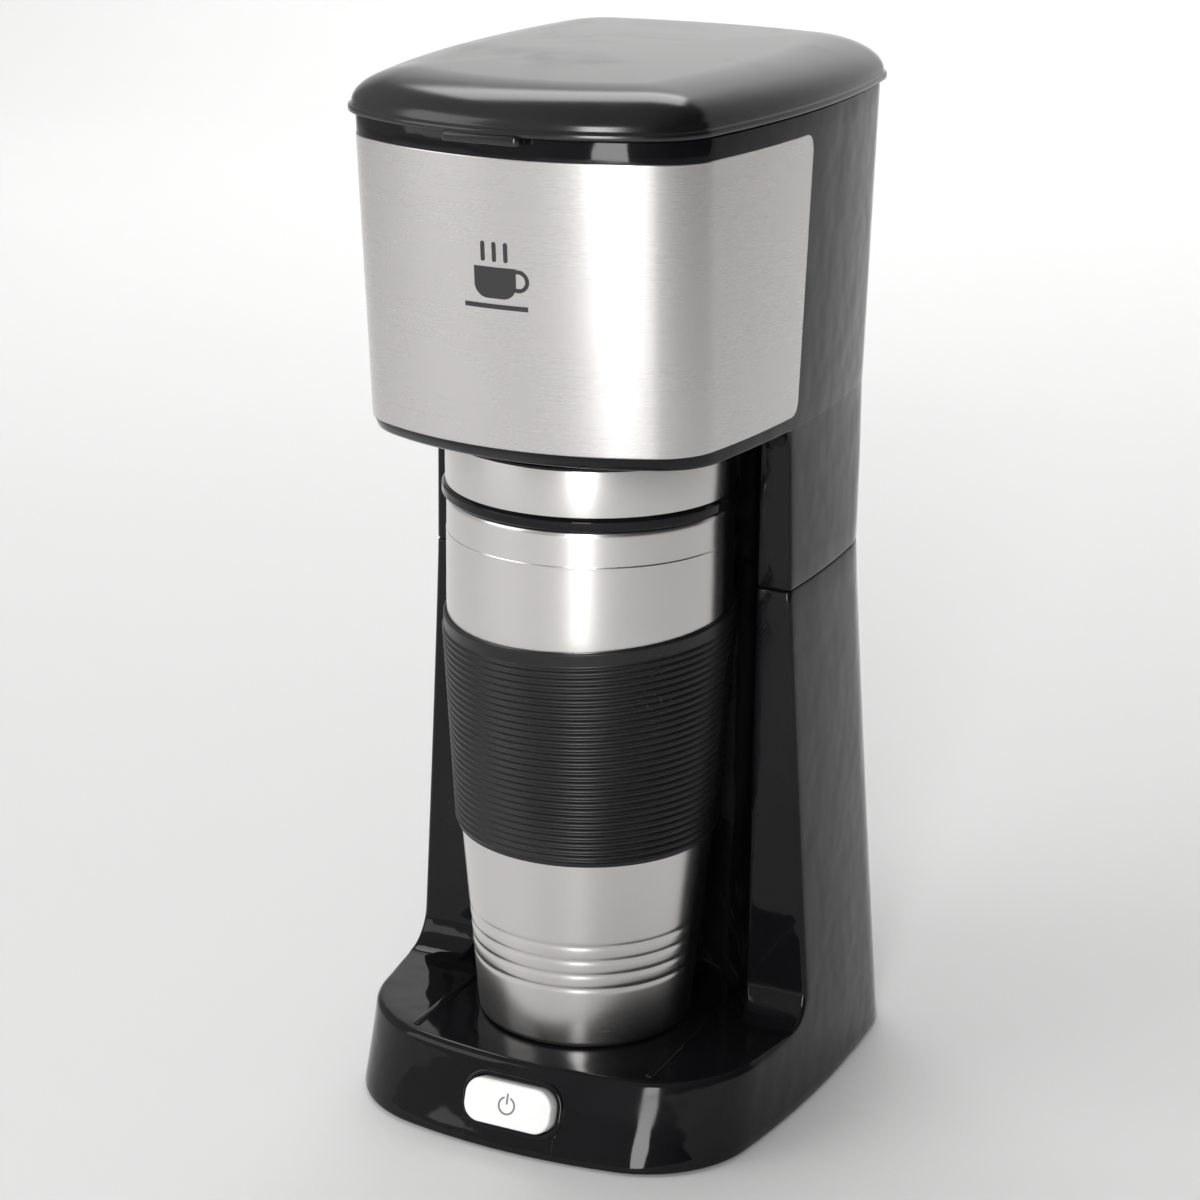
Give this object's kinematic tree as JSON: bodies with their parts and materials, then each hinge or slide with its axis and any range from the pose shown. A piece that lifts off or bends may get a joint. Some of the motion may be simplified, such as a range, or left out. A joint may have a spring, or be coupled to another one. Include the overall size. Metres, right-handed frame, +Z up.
{
  "type": "single-cup drip coffee maker",
  "caption": "Upright one-cup drip coffee maker: steel-wrapped brew head with hinged lid over a niche, with a ribbed travel mug standing on the base.",
  "frame": {"origin": "middle of the standing area, at the underside of the feet", "axes": "+Z up, -Y towards the user (button and mug side), +X to the right seen from the front"},
  "size_m": [0.1286, 0.1686, 0.295],
  "materials": {
    "black_gloss": "gloss injection moulding",
    "black_satin": "fine satin moulding",
    "brushed_steel": "fine brushed",
    "bright_steel": "bright drawn",
    "steel_mesh": "woven fine mesh",
    "rubber": "matt moulded",
    "silicone": "translucent soft",
    "tank_plastic": "smoke grey moulding",
    "button_white": "gloss white",
    "grey_print": "printed ink",
    "cast_aluminium": "as cast",
    "heater_fittings": "glazed"
  },
  "bodies": {
    "housing": {"base_housing": "black_gloss", "niche_wall": "black_gloss", "pillar_left": "black_gloss", "pillar_right": "black_gloss", "rear_shell": "black_gloss", "upper_housing": "black_gloss", "upper_niche_wall": "black_gloss", "upper_pillar_left": "black_gloss", "upper_pillar_right": "black_gloss", "upper_rear_shell": "black_gloss", "button_bezel": "black_gloss", "brew_funnel": "black_satin", "filter_basket": "black_satin", "base_plate": "black_satin", "shower_spout": "black_satin", "cord_gland": "black_satin", "terminal_block": "black_satin", "power_switch": "black_satin", "check_valve": "black_satin", "steel_wrap": "brushed_steel", "hinge_pin": "bright_steel", "base_screws": "bright_steel", "column_screws": "bright_steel", "hose_clamps": "bright_steel", "heater_bars": "bright_steel", "mesh_filter": "steel_mesh", "rubber_feet": "rubber", "inlet_tube": "silicone", "riser_tube": "silicone", "water_tank": "tank_plastic", "tank_strainer": "tank_plastic", "front_emblem": "grey_print", "boiler": "cast_aluminium", "heating_element": "cast_aluminium", "thermostat": "cast_aluminium", "heater_ends": "heater_fittings", "thermal_fuses": "heater_fittings"},
    "lid": {"lid_shell": "black_satin", "lid_liner": "black_satin"},
    "button": {"power_button": "button_white", "power_symbol": "grey_print"},
    "grip": {"filter_grip": "black_satin"},
    "mug": {"mug_shell": "brushed_steel", "mug_liner": "bright_steel", "mug_base_cap": "black_satin", "mug_sleeve": "rubber"},
    "mug_lid": {"mug_lid_top": "black_gloss", "mug_lid_band": "brushed_steel", "mug_lid_collar": "black_gloss", "mug_lid_seal": "silicone"},
    "slider": {"drink_slider": "black_gloss"}
  },
  "joints": [
    {"name": "lid_hinge", "type": "hinge", "parent": "housing", "child": "lid", "pos_m": [0, 0.08115, 0.2835], "axis": [-1, 0, 0], "range_deg": [0, 95]},
    {"name": "button_press", "type": "slide", "parent": "housing", "child": "button", "axis": [0, 0.9546, -0.2978], "range_m": [0, 0.002], "stiffness_N_per_m": 500, "springref_m": -0.004},
    {"name": "grip_fold", "type": "hinge", "parent": "housing", "child": "grip", "pos_m": [0, -0.05385, 0.2797], "axis": [1, 0, 0], "range_deg": [0, 95]},
    {"name": "mug_slide", "type": "slide", "parent": "housing", "child": "mug", "axis": [0, -1, 0], "range_m": [0, 0.16]},
    {"name": "mug_lid_turn", "type": "hinge", "parent": "mug", "child": "mug_lid", "pos_m": [0, -0.01855, 0.18], "axis": [0, 0, 1], "range_deg": [0, 60]},
    {"name": "drink_slide", "type": "slide", "parent": "mug_lid", "child": "slider", "axis": [0, 1, 0], "range_m": [0, 0.01]}
  ]
}
